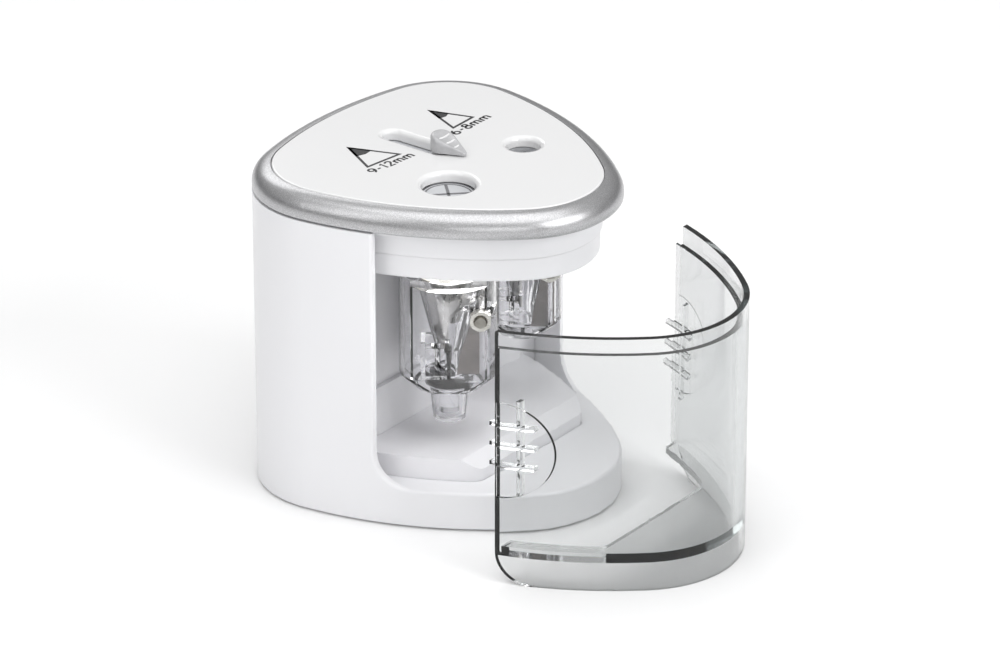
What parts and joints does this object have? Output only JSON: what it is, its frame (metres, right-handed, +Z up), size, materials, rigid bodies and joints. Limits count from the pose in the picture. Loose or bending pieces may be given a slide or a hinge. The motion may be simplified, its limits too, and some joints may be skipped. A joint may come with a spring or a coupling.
{
  "type": "battery pencil sharpener",
  "caption": "Rounded-triangle battery pencil sharpener with thick and thin pencil holes, a hole selector, geared cutters and a clear lift-out shavings container.",
  "frame": {"origin": "on the table under the middle of the housing, at the centre of the underside", "axes": "+Z up; -Y towards the rounded front corner where the container goes; +X to the right seen from the front"},
  "size_m": [0.0951, 0.1406, 0.0953],
  "materials": {
    "white_abs": "semi-gloss moulded",
    "grey_abs": "satin moulded",
    "rubber": "matt",
    "zinc_steel": "bright zinc",
    "cell_jacket": "printed sleeve",
    "nickel": "nickel plated",
    "bush_acetal": "moulded",
    "gear_acetal": "moulded",
    "silver_paint": "satin metallic paint",
    "shutter_grey": "satin",
    "pearl_plastic": "translucent pearl",
    "clear_plastic": "clear moulded plastic",
    "clear_container": "clear moulded plastic, polished",
    "cone_metal": "fine turned",
    "blade_steel": "ground dark steel",
    "brass": "turned",
    "motor_steel": "zinc plated",
    "motor_copper": "wound copper",
    "black_plastic": "moulded"
  },
  "bodies": {
    "housing": {"battery_cell_1": "cell_jacket", "battery_cell_2": "cell_jacket", "battery_cell_3": "cell_jacket", "battery_cell_4": "cell_jacket", "battery_springs": "nickel", "body_shell": "white_abs", "bottom_cover": "white_abs", "contact_plate_front": "nickel", "contact_plate_rear": "nickel", "deck_lower": "white_abs", "deck_screws": "zinc_steel", "deck_upper": "white_abs", "drive_axle": "zinc_steel", "gear_cover": "grey_abs", "housing_screws": "zinc_steel", "interlock_switch": "black_plastic", "large_bush": "bush_acetal", "motor_can": "motor_steel", "motor_cradle": "grey_abs", "motor_end_cap": "black_plastic", "motor_screws": "zinc_steel", "motor_terminals": "brass", "partition_wall": "grey_abs", "rubber_feet": "rubber", "silver_ring": "silver_paint", "small_bush": "bush_acetal", "stage": "white_abs", "top_plate": "white_abs"},
    "container": {"container": "clear_container"},
    "battery_door": {"battery_door": "white_abs"},
    "selector": {"shutter_plate": "shutter_grey", "selector_knob": "pearl_plastic"},
    "large_cutter": {"large_cutter_gear": "gear_acetal", "large_cutter_holder": "clear_plastic", "large_cutter_cone": "cone_metal", "large_blade": "blade_steel", "large_blade_nut": "zinc_steel", "large_blade_screw": "zinc_steel", "large_end_cup": "clear_plastic"},
    "small_cutter": {"small_cutter_gear": "gear_acetal", "small_cutter_holder": "clear_plastic", "small_cutter_cone": "cone_metal", "small_blade": "blade_steel", "small_blade_nut": "zinc_steel", "small_blade_screw": "zinc_steel"},
    "drive_train": {"drive_gear": "gear_acetal"},
    "motor_rotor": {"motor_shaft": "zinc_steel", "motor_pinion": "brass", "motor_armature": "motor_copper"},
    "interlock": {"interlock_plunger": "grey_abs"}
  },
  "joints": [
    {"name": "container_slide", "type": "slide", "parent": "housing", "child": "container", "axis": [0.1497, 0.9569, 0.2487], "range_m": [0, 0.04744]},
    {"name": "battery_door_slide", "type": "slide", "parent": "housing", "child": "battery_door", "axis": [0, 1, 0], "range_m": [0, 0.075]},
    {"name": "selector_slide", "type": "slide", "parent": "housing", "child": "selector", "axis": [0, 1, 0], "range_m": [0, 0.015]},
    {"name": "large_cutter_spin", "type": "hinge", "parent": "housing", "child": "large_cutter", "pos_m": [-0.016, -0.0105, 0.06], "axis": [0, 0, 1], "continuous": true},
    {"name": "small_cutter_spin", "type": "hinge", "parent": "housing", "child": "small_cutter", "pos_m": [0.016, -0.0105, 0.06], "axis": [0, 0, 1], "continuous": true},
    {"name": "drive_gear_spin", "type": "hinge", "parent": "housing", "child": "drive_train", "pos_m": [0, 0.00302, 0.077], "axis": [0, 0, 1], "continuous": true},
    {"name": "motor_spin", "type": "hinge", "parent": "housing", "child": "motor_rotor", "pos_m": [0, 0.01917, 0.06], "axis": [0, 0, 1], "continuous": true},
    {"name": "interlock_press", "type": "slide", "parent": "housing", "child": "interlock", "axis": [0, 1, 0], "range_m": [0, 0.0015], "stiffness_N_per_m": 200, "springref_m": -0.001}
  ],
  "couplings": [
    {"joint": "small_cutter_spin", "follows": "large_cutter_spin", "ratio": 1},
    {"joint": "drive_gear_spin", "follows": "large_cutter_spin", "ratio": -1.6},
    {"joint": "motor_spin", "follows": "large_cutter_spin", "ratio": 3.7333}
  ]
}
